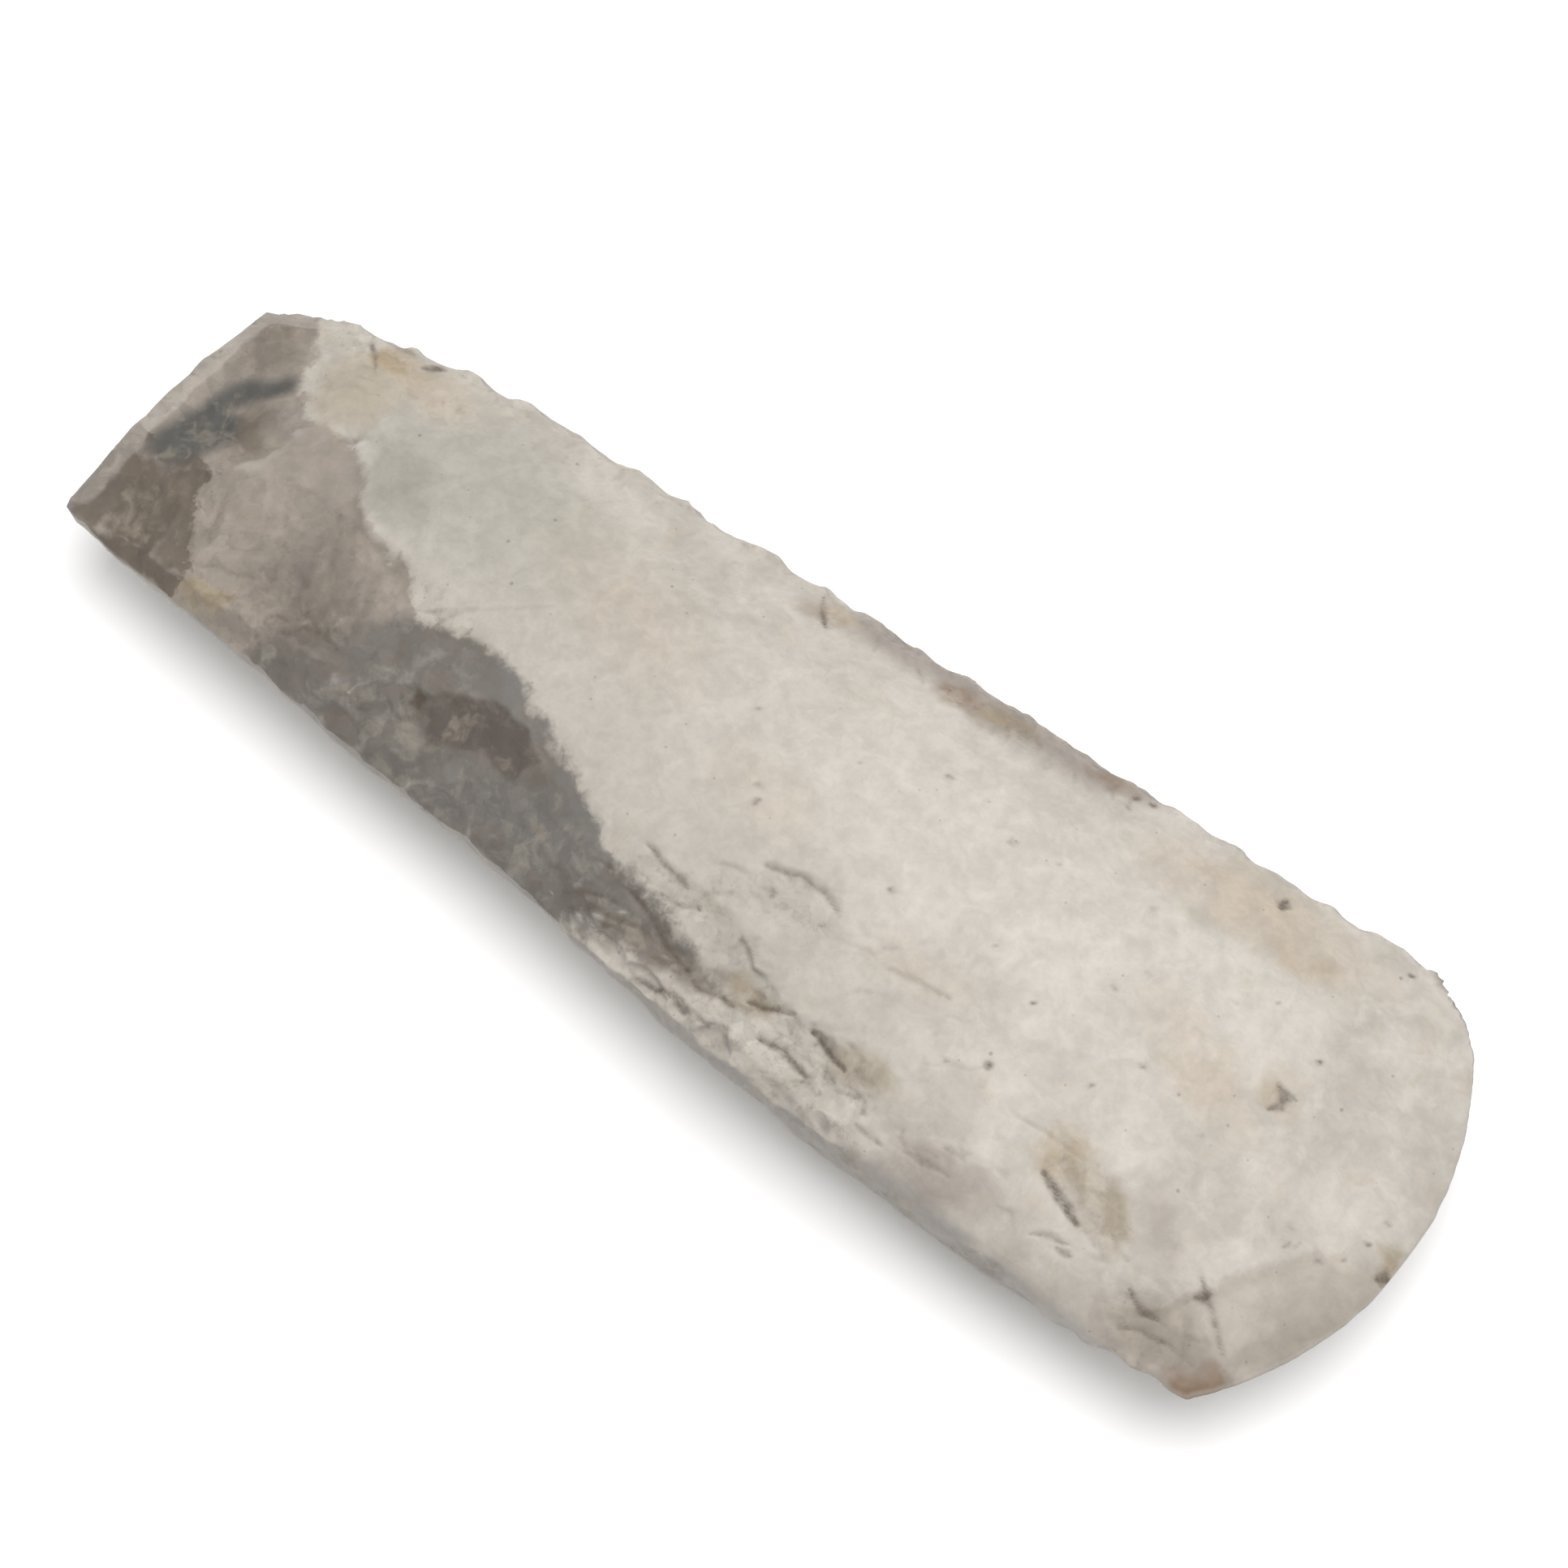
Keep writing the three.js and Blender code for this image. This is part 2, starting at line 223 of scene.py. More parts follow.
# Cracks and creases on top: the line, the width, the depth and how strongly dirt marks it.
creases = [
    {"line": [(-4.4, -18.6), (-1.1, -19.3), (3.1, -19.9)], "width": 0.42, "depth": 0.22, "mark": 0.6},
    {"line": [(-1.5, -23.2), (2.2, -21.9), (6.2, -21)], "width": 0.36, "depth": 0.18, "mark": 0.55},
    {"line": [(-8.5, -29.2), (-5, -27.7), (-0.2, -26.8)], "width": 0.6, "depth": 0.3, "mark": 0.6},
    {"line": [(-9.8, -27.9), (-5, -26.2), (-1.7, -25.6)], "width": 0.55, "depth": 0.22, "mark": 0.5},
    {"line": [(-3, -24), (1.6, -25), (5, -26.6), (8.8, -27.4)], "width": 0.55, "depth": 0.3, "mark": 0.65},
    {"line": [(4.6, -15.6), (6.4, -14.8), (8.2, -14.5)], "width": 0.45, "depth": 0.15, "mark": 0.32},
    {
        "line": [(9.4, -12.4), (13.9, -11), (17.6, -10.9), (20.2, -12)],
        "width": 0.6, "depth": 0.3, "mark": 0.5,
    },
    {"line": [(10.6, -14.8), (12.6, -14.2)], "width": 0.5, "depth": 0.12, "mark": 0.4},
    {"line": [(17.8, -26.2), (20.6, -25.6), (23.8, -24.6)], "width": 0.45, "depth": 0.3, "mark": 0.75},
    {"line": [(4.5, -31), (7.5, -30.6), (11, -30.9), (15.2, -31)], "width": 0.5, "depth": 0.3, "mark": 0.6},
    {"line": [(26.8, -24.8), (29.9, -25.2), (32.7, -26.1)], "width": 0.5, "depth": 0.35, "mark": 0.85},
    {"line": [(21.4, -28.8), (25, -28.2), (29.4, -29)], "width": 0.5, "depth": 0.3, "mark": 0.7},
    {"line": [(11.1, -28), (14, -27.4), (16.7, -27.6)], "width": 0.45, "depth": 0.25, "mark": 0.65},
    {"line": [(27.1, -12.1), (29.5, -11.1)], "width": 0.35, "depth": 0.12, "mark": 0.35},
    {"line": [(29.6, -14.1), (33.3, -12.9), (37.9, -12.2)], "width": 0.4, "depth": 0.14, "mark": 0.35},
    {"line": [(40.4, -20.1), (44, -18.2), (47, -15.9)], "width": 0.3, "depth": 0.06, "mark": 0.28},
    {"line": [(37.9, -30.4), (42, -30.4)], "width": 0.5, "depth": 0.2, "mark": 0.5},
    {"line": [(44.6, -29.6), (47.6, -29.3), (51, -28.8)], "width": 0.4, "depth": 0.16, "mark": 0.45},
    {"line": [(53.3, -18.3), (58.5, -17.7), (62.5, -17.4)], "width": 0.32, "depth": 0.12, "mark": 0.3},
    {"line": [(59.9, -21.6), (62.8, -22.5), (66.8, -23.9)], "width": 0.55, "depth": 0.35, "mark": 1.0},
    {"line": [(60.2, -21.6), (60.6, -19.6), (61.2, -17.9)], "width": 0.35, "depth": 0.1, "mark": 0.3},
    {"line": [(62.8, -28.2), (65, -27), (67.1, -26.5)], "width": 0.4, "depth": 0.2, "mark": 0.55},
    {"line": [(66.5, -27.6), (68.5, -27.4)], "width": 0.35, "depth": 0.2, "mark": 0.6},
    {"line": [(76.1, -25.9), (78.4, -26.7), (80.8, -26.2)], "width": 0.45, "depth": 0.25, "mark": 0.7},
    {
        "line": [(77.7, -30), (80, -28.2), (82.6, -27.8), (85.2, -27.6)],
        "width": 0.4, "depth": 0.18, "mark": 0.5,
    },
    {
        "line": [(82.4, -19.7), (84.7, -21), (87, -22.8), (89.4, -24.8)],
        "width": 0.45, "depth": 0.22, "mark": 0.55,
    },
    {"line": [(82.8, -21.5), (84.2, -20.2)], "width": 0.6, "depth": 0.25, "mark": 0.85},
    {"line": [(75.3, 5.8), (77, 5), (77.4, 3.4), (76.2, 2.4)], "width": 0.55, "depth": 0.25, "mark": 0.8},
    {"line": [(76.8, 5.2), (78, 5.5)], "width": 0.4, "depth": 0.15, "mark": 0.6},
    {"line": [(-10.6, 24.4), (-8.8, 22.2), (-6.9, 20.2)], "width": 0.5, "depth": 0.25, "mark": 0.75},
    {"line": [(61.2, 27.6), (61.6, 26)], "width": 0.7, "depth": 0.35, "mark": 1.0},
    {"line": [(-84.4, 19.6), (-82.2, 17.4), (-79.6, 14.8)], "width": 0.5, "depth": 0.15, "mark": 0.6},
    {"line": [(-83, 20), (-80.3, 20.4), (-77.6, 20.4)], "width": 0.6, "depth": 0.2, "mark": 0.6},
    {"line": [(-75, 19.4), (-72.8, 20.8)], "width": 0.7, "depth": 0.25, "mark": 0.9},
    {
        "line": [(-79, -22.1), (-76.6, -20.7), (-73, -19.8), (-70.2, -18.6)],
        "width": 0.5, "depth": 0.15, "mark": 0.4,
    },
    {
        "line": [(-49.4, -11), (-45, -8.9), (-39.3, -4.3), (-33.4, 0.5)],
        "width": 0.4, "depth": 0.08, "mark": 0.3,
    },
    {
        "line": [(-63.4, -23), (-60, -20.6), (-57.7, -20), (-55, -20.6)],
        "width": 0.5, "depth": 0.2, "mark": 0.6,
    },
    {
        "line": [(-41.6, -19.8), (-37.7, -17.6), (-32, -15.4), (-26.3, -16)],
        "width": 0.5, "depth": 0.12, "mark": 0.5,
    },
    {"line": [(-42.2, -20.3), (-41, -19.5)], "width": 1.0, "depth": 0.3, "mark": 1.0},
    {"line": [(-74.9, 2.4), (-73, 3.8), (-71.6, 5)], "width": 0.7, "depth": 0.12, "mark": 0.4},
    {"line": [(98.6, -4.8), (99.6, -4.3)], "width": 0.9, "depth": 0.2, "mark": 1.0},
]

# Where many faint creases lie together: the middle, half the length and width, the way that they
# run in degrees from +X, how many there are, their length, and their depth and mark.
flurries = [
    {"at": (15, -12), "size": (13, 5), "run": 8, "count": 16, "length": 3.4, "depth": 0.07, "mark": 0.3},
    {"at": (5, -22), "size": (11, 5), "run": 4, "count": 18, "length": 3.6, "depth": 0.1, "mark": 0.4},
    {"at": (34, -14), "size": (9, 5), "run": 18, "count": 12, "length": 2.8, "depth": 0.06, "mark": 0.3},
    {"at": (24, -27), "size": (15, 4), "run": -6, "count": 46, "length": 2.6, "depth": 0.1, "mark": 0.45},
    {"at": (6, -29), "size": (10, 2.5), "run": 2, "count": 16, "length": 2.6, "depth": 0.14, "mark": 0.5},
    {"at": (63, -23), "size": (11, 7), "run": -10, "count": 16, "length": 2.6, "depth": 0.07, "mark": 0.38},
    {"at": (83, -26), "size": (9, 6), "run": -20, "count": 20, "length": 3.0, "depth": 0.07, "mark": 0.3},
    {"at": (48, -28), "size": (9, 3), "run": 0, "count": 10, "length": 2.4, "depth": 0.08, "mark": 0.4},
    {"at": (-4, -26), "size": (10, 4), "run": 4, "count": 18, "length": 3.4, "depth": 0.12, "mark": 0.45},
    {
        "at": (14, 24.5), "size": (26, 2.6), "run": -70, "count": 30,
        "length": 2.4, "depth": 0.1, "mark": 0.45,
    },
    {"at": (-50, 21), "size": (32, 2.6), "run": -80, "count": 22, "length": 2.2, "depth": 0.1, "mark": 0.35},
    {"at": (-64, -12), "size": (11, 8), "run": 128, "count": 26, "length": 4.6, "depth": 0.06, "mark": 0.36},
    {"at": (-88, -18), "size": (8, 7), "run": 126, "count": 26, "length": 3.6, "depth": 0.09, "mark": 0.5},
    {"at": (-88, -2), "size": (6, 8), "run": 60, "count": 14, "length": 3.6, "depth": 0.06, "mark": 0.35},
    {"at": (-54, -23), "size": (14, 5), "run": 20, "count": 30, "length": 2.4, "depth": 0.1, "mark": 0.5},
    {"at": (-28, -23), "size": (16, 6), "run": 40, "count": 18, "length": 2.6, "depth": 0.05, "mark": 0.3},
    {"at": (-78, 15), "size": (8, 5), "run": 30, "count": 12, "length": 2.2, "depth": 0.06, "mark": 0.35},
]

# Single pits on the blade half: the place and the radius.
pits = [
    (31.3, 9.4, 0.5), (19.6, 11.8, 0.45), (37.5, 11, 0.35), (23.9, -5.4, 0.5), (54.8, 6, 0.3),
    (52.7, 1.8, 0.3), (49.7, 2.3, 0.3), (64.9, 10.5, 0.3), (46.8, -16, 0.5), (61.5, -3.8, 0.5),
    (77.6, 11.5, 0.5), (86.8, -7.6, 0.4), (87.7, -9.4, 0.45), (88.8, -8.6, 0.35), (91.9, -8.4, 0.4),
    (94.1, -6, 0.35), (95.2, -2.4, 0.4), (95.4, 0.8, 0.35), (42.4, -18.4, 0.35), (46.6, -6.2, 0.35),
    (47.4, -18.2, 0.3), (12.3, -14.9, 0.4), (72, -6, 0.3), (83, 3, 0.3), (58, -10, 0.3),
    (38, -3, 0.3), (69, 14, 0.3), (28, 2, 0.3), (10, 6, 0.3), (50, 14, 0.3), (3.1, -6.5, 0.5),
    (2.3, -4.5, 0.45), (-5, 4, 0.4), (38.5, 26.6, 0.6), (40.6, 27.2, 0.5), (79, 30.5, 0.5),
]

# Patches of color that follow the carving: closed outlines on top.
patches = {
    "butt": [
        (-115, -45), (-115, 40), (-92, 40), (-91, 17), (-87.5, 11.5), (-86, 7.5), (-81.4, 2.4), (-76.5, 3.6),
        (-72.4, 2.6), (-68.4, 0.6), (-65.1, -3.8), (-61.3, -6.2), (-55, -6.6), (-49.4, -11),
        (-47, -16), (-45, -45),
    ],
    "dark": [
        (-66, -45), (-65.5, -24.8), (-61, -20.5), (-54.5, -16.6), (-50, -12.6), (-46, -10.8), (-38.6, -9.4),
        (-32, -11.2), (-24.5, -14), (-17.5, -17), (-12, -20.2), (-8.5, -22), (-2, -22.8), (4, -23.6),
        (8.5, -25.4), (11, -27.6), (4, -28.6), (-3, -29.2), (-9, -30.6), (-13, -45),
    ],
    "crescent": [
        (-42, -20.4), (-38.5, -18), (-32.3, -15.8), (-26.6, -16), (-22.6, -18), (-24, -21.4), (-30, -21),
        (-37, -23),
    ],
    "blue": [
        (-37, -24), (-30, -21.6), (-22, -20.4), (-15, -21), (-8, -23.4), (-9, -26.6), (-16, -27.6),
        (-26, -27.2), (-34, -27.4),
    ],
    "brown": [
        (-115, -45), (-115, -13), (-97, -10.5), (-90, -9.5), (-85.4, -11), (-85.4, -14.4), (-82.6, -18.6),
        (-79, -23), (-80, -45),
    ],
    "facet": [
        (73, -29), (80.3, -25.7), (83.6, -20.3), (86.9, -13.3), (91.4, -7.9), (100, -2),
        (110, -20), (95, -45),
        (80, -40),
    ],
}

# Strokes of color along a line: the line, half its width and the softness.
strokes = {
    "slate": [
        {
            "line": [(-94.6, -9), (-94.2, -5.6), (-92.8, -1.6), (-90.9, 2.3), (-87.6, 5.1)],
            "width": 1.5, "soft": 1.8,
        },
        {"line": [(-93.4, -10), (-92, -7.6), (-91, -5.2)], "width": 3.0, "soft": 2.2},
    ],
    "farBand": [
        {
            "line": [(-3, 25), (4, 26.2), (12, 27), (22, 28), (30, 28.6), (38, 29.4)],
            "width": 2.4, "soft": 3.4,
        },
        {"line": [(16, 27), (24, 27.6), (32, 28.4)], "width": 3.6, "soft": 3.6},
    ],
}


def blend(low, high, values):
    share = np.clip((values - low) / (high - low), 0, 1)
    return share * share * (3 - 2 * share)


def noiseAt(points, size, seed=0.0):
    places = points / size + (seed * 17.3, seed * 5.1, seed * 9.7)
    return np.array([noise.noise(place) for place in places])


def scallopsAt(points, size, seed=0.0):
    # 0 in the middle of each cell and 1 on the ridges between the cells
    places = points / size + (seed * 13.1, seed * 7.7, seed * 3.9)
    nearest = np.array([noise.voronoi(place)[0][:2] for place in places])
    return np.clip(nearest[:, 0] / (0.5 * (nearest[:, 0] + nearest[:, 1])), 0, 1) ** 2


def fineMesh(source, lines):
    # the solid's loose triangles, merged and rebuilt as small even quads
    mesh = source.data.copy()
    shape = bmesh.new()
    shape.from_mesh(mesh)
    bmesh.ops.remove_doubles(shape, verts=shape.verts, dist=1e-6)
    shape.to_mesh(mesh)
    shape.free()
    piece = bpy.data.objects.new("flintAxe", mesh)
    bpy.context.scene.collection.objects.link(piece)
    remesh = piece.modifiers.new("remesh", "REMESH")
    remesh.mode = "VOXEL"
    remesh.voxel_size = axe["voxel"] * mm
    evaluated = piece.evaluated_get(bpy.context.evaluated_depsgraph_get())
    fine = bpy.data.meshes.new_from_object(evaluated)
    piece.modifiers.clear()
    piece.data = fine
    refine(fine, lines)
    return piece


def bladeReach(points):
    # the way out towards the cutting edge, and how far a point of the blade is from the arc's centre
    out = points[:, :2] - axe["bladeCentre"]
    away = np.hypot(*out.T)
    return out / away[:, None], away * (points[:, 0] > 70)


def scatterCreases():
    # the single creases of each flurry, gently bent
    chance = random.Random(7)
    lines = []
    for flurry in flurries:
        turn = math.radians(flurry["run"])
        for _ in range(flurry["count"]):
            away = math.sqrt(chance.random())
            bearing = chance.uniform(0, 2 * math.pi)
            x = flurry["at"][0] + flurry["size"][0] * away * math.cos(bearing)
            y = flurry["at"][1] + flurry["size"][1] * away * math.sin(bearing)
            half = flurry["length"] * chance.uniform(0.25, 0.75)
            angle = turn + chance.gauss(0, 0.38)
            bend = chance.gauss(0, 0.35)
            start = (x - half * math.cos(angle - bend), y - half * math.sin(angle - bend))
            end = (x + half * math.cos(angle + bend), y + half * math.sin(angle + bend))
            share = chance.uniform(0.45, 1)
            lines.append({
                "line": [start, (x, y), end],
                "width": 0.26 + 0.22 * share,
                "depth": flurry["depth"] * share,
                "mark": flurry["mark"] * share,
            })
    return lines


def nearLine(places, line, reach):
    # the places in the box around a line
    low = np.min(line, axis=0) - reach
    high = np.max(line, axis=0) + reach
    return np.flatnonzero(np.all((places > low) & (places < high), axis=1))


def refine(mesh, lines):
    # smaller faces along the creases, in the crushed stretch, on the far rim and at the cutting edge
    shape = bmesh.new()
    shape.from_mesh(mesh)
    edges = list(shape.edges)
    middles = np.array([(edge.verts[0].co + edge.verts[1].co) / (2 * mm) for edge in edges])
    x, y, z = middles.T
    upper = z > 14
    wanted = bladeReach(middles)[1] > axe["bladeZone"]
    for crease in lines:
        near = nearLine(middles[:, :2], crease["line"], axe["fineReach"])
        distance, _, _ = lineDistance(middles[near, :2], crease["line"])
        wanted[near] |= upper[near] & (distance < axe["fineReach"])
    farSide = np.interp(x, [-100, -60, 0, 60, 100], [12, 21, 23.5, 26, 30])
    wanted |= upper & (y > farSide) & (x > -90) & (x < 86)
    wanted |= upper & (y < -24) & (x < 40)
    chosen = [edge for edge, want in zip(edges, wanted) if want]
    bmesh.ops.subdivide_edges(shape, edges=chosen, cuts=1, use_grid_fill=True)
    bmesh.ops.triangulate(shape, faces=[face for face in shape.faces if len(face.verts) > 4])
    shape.to_mesh(mesh)
    shape.free()


class Stone:
    # the points of the axe in millimetres, and how they are joined

    def __init__(self, mesh):
        self.points = np.empty(len(mesh.vertices) * 3)
        mesh.vertices.foreach_get("co", self.points)
        self.points = self.points.reshape(-1, 3) / mm
        mesh.calc_loop_triangles()
        self.triangles = np.empty(len(mesh.loop_triangles) * 3, dtype=np.int32)
        mesh.loop_triangles.foreach_get("vertices", self.triangles)
        self.triangles = self.triangles.reshape(-1, 3)
        links = np.empty(len(mesh.edges) * 2, dtype=np.int32)
        mesh.edges.foreach_get("vertices", links)
        self.first, self.second = links.reshape(-1, 2).T
        self.count = len(self.points)
        self.links = self.spread(np.ones(len(self.first)), np.ones(len(self.first)))
        self.flaked = np.zeros(self.count)
        self.crease = np.zeros(self.count)

    def spread(self, toFirst, toSecond):
        total = np.bincount(self.first, toFirst, self.count)
        return total + np.bincount(self.second, toSecond, self.count)

    def normals(self):
        corners = self.points[self.triangles]
        facing = np.cross(corners[:, 1] - corners[:, 0], corners[:, 2] - corners[:, 0])
        total = np.zeros_like(self.points)
        for corner in range(3):
            for axis in range(3):
                total[:, axis] += np.bincount(self.triangles[:, corner], facing[:, axis], self.count)
        return total / np.linalg.norm(total, axis=1)[:, None]

    def smooth(self, passes, keepEdges=None, mask=1.0):
        likeness = np.ones(len(self.first))
        for _ in range(passes):
            if keepEdges:
                normals = self.normals()
                agreement = np.sum(normals[self.first] * normals[self.second], axis=1)
                likeness = np.exp((agreement - 1) / keepEdges)
            gap = self.points[self.second] - self.points[self.first]
            pull = [self.spread(likeness * gap[:, axis], -likeness * gap[:, axis]) for axis in range(3)]
            self.points += 0.5 * np.stack(pull, axis=1) / self.links[:, None] * np.reshape(mask, (-1, 1))

    def averaged(self, values, passes):
        for _ in range(passes):
            around = self.spread(values[self.second], values[self.first]) / self.links
            values = 0.5 * (values + around)
        return values

    def surfaceAt(self, x, y, face):
        normals = self.normals()
        reach = np.hypot(self.points[:, 0] - x, self.points[:, 1] - y)
        reach[normals[:, 2] * face < 0.3] = 1e9
        near = np.argsort(reach)[:120]
        out = normals[near].mean(axis=0)
        return self.points[near[:4]].mean(axis=0), out / np.linalg.norm(out)

    def scoop(self, middle, out, run, size, depth, seed, soft=axe["rimSoftness"]):
        # a shallow bowl, its rim rounded a little and its outline uneven
        across = np.cross(run, out)
        near = np.flatnonzero(np.linalg.norm(self.points - middle, axis=1) < 0.8 * max(size) + depth)
        offset = self.points[near] - middle
        u, v, height = (offset @ axis for axis in (run, across, out))
        uneven = 1 + 0.3 * noiseAt(self.points[near], 0.6 * min(size), seed)
        uneven += 0.16 * noiseAt(self.points[near], 0.25 * min(size), seed + 0.5)
        away = ((u / (size[0] / 2)) ** 2 + (v / (size[1] / 2)) ** 2) * uneven
        fromBlow = np.hypot(u + size[0] / 2, v)
        ripple = np.sin(2 * math.pi * fromBlow / axe["rippleStep"] + 2 * noiseAt(self.points[near], 6, seed))
        bowl = depth * (away - 1) + axe["rippleHeight"] * ripple * blend(0, 0.5, fromBlow / size[0])
        share = np.clip(0.5 + 0.5 * (height - bowl) / soft, 0, 1)
        lowered = height * (1 - share) + bowl * share - soft * share * (1 - share)
        lowered = np.where(away < 2.2, lowered, height)
        self.points[near] += (lowered - height)[:, None] * out
        self.flaked[near] = np.maximum(self.flaked[near], blend(0.02, 0.2, height - lowered))


def lineDistance(places, line):
    # the distance to a line of points, and whether a place lies on its right-hand side
    nearest = np.full(len(places), 1e9)
    right = np.zeros(len(places), dtype=bool)
    along = np.zeros(len(places))
    for index, (start, end) in enumerate(zip(line, line[1:])):
        start, end = np.array(start), np.array(end)
        step = end - start
        share = np.clip((places - start) @ step / (step @ step), 0, 1)
        gap = places - start - share[:, None] * step
        distance = np.hypot(*gap.T)
        closer = distance < nearest
        nearest[closer] = distance[closer]
        side = step[0] * (places[:, 1] - start[1]) - step[1] * (places[:, 0] - start[0])
        right[closer] = side[closer] < 0
        along[closer] = index + share[closer]
    return nearest, right, along / (len(line) - 1)


def insideOutline(places, outline):
    inside = np.zeros(len(places), dtype=bool)
    x, y = places.T
    for (x0, y0), (x1, y1) in zip(outline, outline[1:] + outline[:1]):
        crosses = (y0 > y) != (y1 > y)
        inside ^= crosses & (x < (x1 - x0) * (y - y0) / (y1 - y0 + 1e-12) + x0)
    return inside


def carveScars(stone):
    for index, scar in enumerate(scars):
        surface, out = stone.surfaceAt(*scar["at"], scar["face"])
        turn = math.radians(scar["turn"])
        run = np.array([math.cos(turn), math.sin(turn), 0])
        run -= out * (run @ out)
        run /= np.linalg.norm(run)
        stone.scoop(surface, out, run, scar["size"], scar["depth"], index)


def carveEdges(stone):
    for row, scar in enumerate(edgeScars):
        normals = stone.normals()
        for index, along in enumerate(scar["at"]):
            uneven = math.sin(5.3 * index + 2.1 * row)
            x, y, _ = stone.points.T
            slab = np.flatnonzero((np.abs(x - along) < 1) & (normals[:, 2] * scar["face"] > 0.35))
            middle = stone.points[slab[np.argmax(y[slab] * scar["side"])]]
            lean = math.radians(scar["lean"] * (1 + 0.12 * uneven))
            out = np.array([0, scar["side"] * math.sin(lean), scar["face"] * math.cos(lean)])
            run = np.array([0.25 * uneven, -scar["side"] * math.cos(lean), scar["face"] * math.sin(lean)])
            run -= out * (run @ out)
            run /= np.linalg.norm(run)
            size = [value * (1 + 0.28 * uneven) for value in scar["size"]]
            depth = scar["depth"] * (1 + 0.35 * math.sin(3.7 * index + row))
            stone.scoop(middle, out, run, size, depth, 20 + row + index, 0.06)


def carveRidges(stone, top):
    warp = np.stack([noiseAt(stone.points, 5, 1), noiseAt(stone.points, 5, 2)], axis=1)
    places = stone.points[:, :2] + 0.8 * warp
    for ridge in ridges:
        distance, right, along = lineDistance(places, ridge["line"])
        fall = blend(0, 0.9, distance) * (1 - blend(1.0, ridge["width"], distance))
        ends = blend(0, 0.12, along) * (1 - blend(0.88, 1, along))
        drop = ridge["drop"] * fall * np.where(right, ends, 0) * top
        lift = 0.16 * ridge["drop"] * (1 - blend(0, 1.2, distance)) * np.where(right, 0, ends) * top
        stone.points[:, 2] += lift - drop


def carveCreases(stone, top, lines):
    warp = np.stack([noiseAt(stone.points, 2.2, 3), noiseAt(stone.points, 2.2, 4)], axis=1)
    places = stone.points[:, :2] + 0.4 * warp
    for crease in lines:
        near = nearLine(places, crease["line"], 4.5 * crease["width"])
        distance, right, along = lineDistance(places[near], crease["line"])
        thin = crease["width"] * (0.45 + 0.55 * np.sin(math.pi * np.clip(along, 0.02, 0.98)))
        groove = np.exp(-((distance / thin) ** 2))
        shoulder = np.exp(-((distance / (3.5 * thin)) ** 2)) * right
        stone.points[near, 2] -= crease["depth"] * (groove + 0.45 * shoulder) * top[near]
        mark = crease["mark"] * (1 - distance / (2.2 * thin)) * top[near]
        stone.crease[near] = np.maximum(stone.crease[near], mark)
    for x, y, radius in pits:
        distance = np.hypot(places[:, 0] - x, places[:, 1] - y)
        stone.points[:, 2] -= 0.2 * np.exp(-((distance / radius) ** 2)) * top
        stone.crease = np.maximum(stone.crease, 0.85 * (1 - distance / (1.9 * radius)) * top)


def edgeGaps(stone):
    # how far each point is from the near and the far long side
    x, y, _ = stone.points.T
    steps = np.arange(-99, 100, 2.0)
    near = [y[np.abs(x - step) < 1.5].min() for step in steps]
    far = [y[np.abs(x - step) < 1.5].max() for step in steps]
    return y - np.interp(x, steps, near), np.interp(x, steps, far) - y


def struckMargins(stone):
    # 1 where the surface was only struck, along the edges and at the butt, and 0 where it is ground
    x, y, _ = stone.points.T
    top = stone.normals()[:, 2] > 0
    fromNear, fromFar = edgeGaps(stone)
    fromNear = fromNear + 1.6 * noiseAt(stone.points, 7, 5)
    fromFar = fromFar + 0.9 * noiseAt(stone.points, 5, 6)
    nearPlaces = [-100, -70, -45, -20, 0, 12, 30, 37, 42, 100]
    nearWidth = np.interp(x, nearPlaces, [15, 17, 14, 11, 8, 7, 7.5, 4, 0.2, 0.2])
    farWidth = np.interp(x, [-100, -80, -70, 30, 60, 75, 100], [7, 7, 3.5, 3, 2, 1, 0.3])
    underNear = np.interp(x, [-100, -40, 10, 50, 65, 100], [12, 14, 11, 7, 1, 0.2])
    underFar = np.interp(x, [-100, -50, 10, 45, 60, 100], [13, 12, 8, 5, 1, 0.2])
    nearWidth = np.where(top, nearWidth, underNear)
    farWidth = np.where(top, farWidth, underFar)
    atNear = 1 - blend(0.65, 1.1, fromNear / nearWidth)
    atFar = 1 - blend(0.6, 1.2, fromFar / farWidth)
    atButt = 1 - blend(-94, -84, x + 2.5 * noiseAt(stone.points, 6, 7))
    return np.maximum.reduce([atNear, atFar, atButt])


def growSides(stone):
    # the sides stand out a little, and the scars then wear them back to the solid
    x = stone.points[:, 0]
    normals = stone.normals()
    steep = 1 - blend(0.7, 0.97, np.abs(normals[:, 2]))
    growth = axe["sideGrowth"]
    bySide = np.where(normals[:, 1] > 0, growth["far"], growth["near"])
    out = bySide * blend(0.15, 0.6, np.abs(normals[:, 1]))
    out = np.maximum(out, growth["butt"] * blend(0.15, 0.6, -normals[:, 0]) * (x < -80))
    out *= 1 - blend(84, 94, x)
    stone.points[:, :2] += (out * steep)[:, None] * normals[:, :2]


def roughen(stone):
    normals = stone.normals()
    struck = struckMargins(stone)
    x = stone.points[:, 0]
    coarseDepth, smallDepth, crushedDepth = axe["scallops"]
    coarse = scallopsAt(stone.points * (1, 0.7, 1), 9.5, 1)
    small = scallopsAt(stone.points * (1, 0.75, 1), 4.6, 2)
    level = struck * coarseDepth * (coarse - 0.7) + struck * smallDepth * (small - 0.7)
    crushed = blend(2, 8, x) * (1 - blend(32, 38, x)) * struck * (normals[:, 2] > 0.3)
    level += crushed * crushedDepth * (scallopsAt(stone.points, 3.2, 3) - 0.8)
    stone.points += level[:, None] * normals
    stone.flaked = np.maximum(stone.flaked * 0.8, struck)


